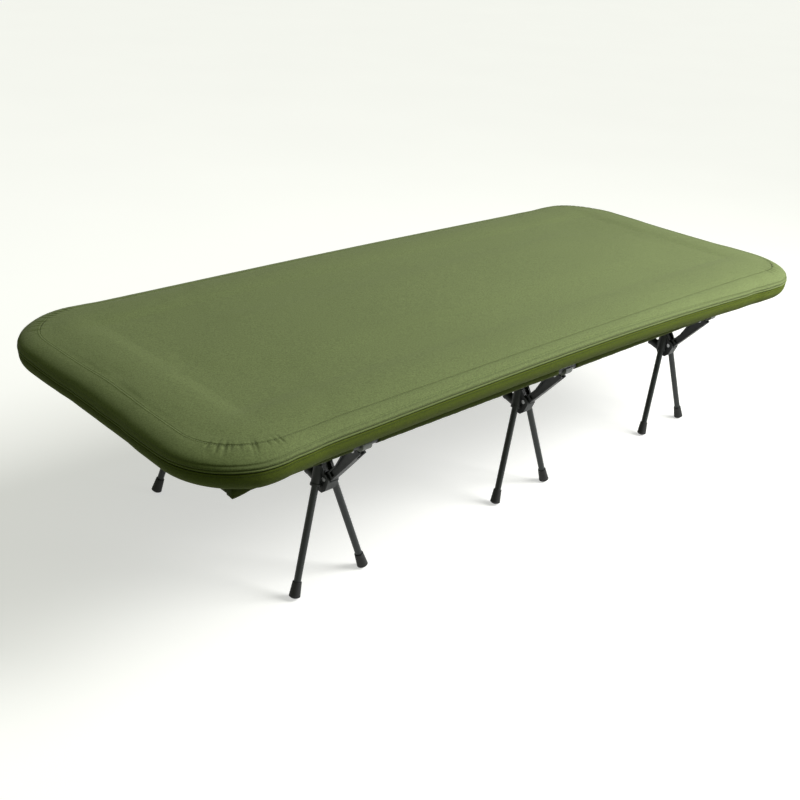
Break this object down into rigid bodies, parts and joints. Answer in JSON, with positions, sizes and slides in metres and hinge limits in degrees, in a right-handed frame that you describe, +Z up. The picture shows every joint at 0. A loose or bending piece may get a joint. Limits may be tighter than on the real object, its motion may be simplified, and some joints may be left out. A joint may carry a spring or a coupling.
{
  "type": "folding cot",
  "caption": "Low folding camp cot: three plug-in leg sets, lever arms and sleeved side rails carry a taut sheet and a thick zipped mattress pad.",
  "frame": {"origin": "on the floor under the middle of the cot", "axes": "+X along the cot to the head end, +Y to the left side, +Z up"},
  "size_m": [1.9, 0.79, 0.4385],
  "materials": {
    "pad_cover": "matte fine heathered weave",
    "pad_base": "matte woven fabric",
    "zip_tape": "matte coil zip",
    "zip_metal": "satin",
    "foam": "open-cell foam",
    "cot_sheet": "tight ripstop weave",
    "cot_trim": "heavy woven tape",
    "tube_black": "satin anodised aluminium",
    "bare_aluminium": "drawn",
    "nylon_black": "moulded glass-filled nylon",
    "nylon_grey": "moulded nylon",
    "rubber_black": "matte",
    "shock_cord": "braided",
    "steel_pin": "satin"
  },
  "bodies": {
    "frame": {"bed_sheet": "cot_sheet", "sheet_end_hems": "cot_trim", "pivot_pins": "steel_pin", "hub_foot_left": "nylon_black", "leg_pair_foot_left": "tube_black", "crossbar_tube_foot_left": "tube_black", "hub_foot_right": "nylon_black", "leg_pair_foot_right": "tube_black", "crossbar_tube_foot_right": "tube_black", "crossbar_ferrule_foot": "tube_black", "rubber_feet_foot": "rubber_black", "hub_mid_left": "nylon_black", "leg_pair_mid_left": "tube_black", "crossbar_tube_mid_left": "tube_black", "hub_mid_right": "nylon_black", "leg_pair_mid_right": "tube_black", "crossbar_tube_mid_right": "tube_black", "crossbar_ferrule_mid": "tube_black", "rubber_feet_mid": "rubber_black", "hub_head_left": "nylon_black", "leg_pair_head_left": "tube_black", "crossbar_tube_head_left": "tube_black", "hub_head_right": "nylon_black", "leg_pair_head_right": "tube_black", "crossbar_tube_head_right": "tube_black", "crossbar_ferrule_head": "tube_black", "rubber_feet_head": "rubber_black"},
    "left_side": {"rail_sleeve_left": "cot_sheet", "corner_pockets_left": "cot_trim", "rail_tubes_left": "tube_black", "rail_spigots_left": "bare_aluminium", "rail_end_caps_left": "nylon_black", "rail_shock_cord_left": "shock_cord", "clamp_rivets_left": "steel_pin", "lever_arm_foot_left": "nylon_black", "rail_clamp_foot_left": "nylon_grey", "lever_arm_mid_left": "nylon_black", "rail_clamp_mid_left": "nylon_grey", "lever_arm_head_left": "nylon_black", "rail_clamp_head_left": "nylon_grey"},
    "right_side": {"rail_sleeve_right": "cot_sheet", "corner_pockets_right": "cot_trim", "rail_tubes_right": "tube_black", "rail_spigots_right": "bare_aluminium", "rail_end_caps_right": "nylon_black", "rail_shock_cord_right": "shock_cord", "clamp_rivets_right": "steel_pin", "lever_arm_foot_right": "nylon_black", "rail_clamp_foot_right": "nylon_grey", "lever_arm_mid_right": "nylon_black", "rail_clamp_mid_right": "nylon_grey", "lever_arm_head_right": "nylon_black", "rail_clamp_head_right": "nylon_grey"},
    "pad": {"pad_foam_core": "foam", "pad_top_panel": "pad_cover", "pad_side_band": "pad_cover", "pad_zip_tape": "zip_tape", "pad_bottom_panel": "pad_base"},
    "zipper": {"zip_slider": "zip_metal", "zip_pull": "zip_metal"}
  },
  "joints": [
    {"name": "release_left", "type": "hinge", "parent": "frame", "child": "left_side", "pos_m": [0, 0.24, 0.236], "axis": [1, 0, 0], "range_deg": [0, 34], "deforming": ["bed_sheet", "sheet_end_hems"]},
    {"name": "release_right", "type": "hinge", "parent": "frame", "child": "right_side", "pos_m": [0, -0.24, 0.236], "axis": [1, 0, 0], "range_deg": [-34, 0], "deforming": ["bed_sheet", "sheet_end_hems"]},
    {"name": "pad_lift", "type": "slide", "parent": "frame", "child": "pad", "axis": [0, 0, 1], "range_m": [0, 0.24]},
    {"name": "zip_slide", "type": "slide", "parent": "pad", "child": "zipper", "axis": [1, 0, 0], "range_m": [-1.4, 0]}
  ],
  "couplings": [
    {"joint": "release_right", "follows": "release_left", "ratio": -1},
    {"joint": "pad_lift", "follows": "release_left", "m_per_rad": 0.4}
  ]
}
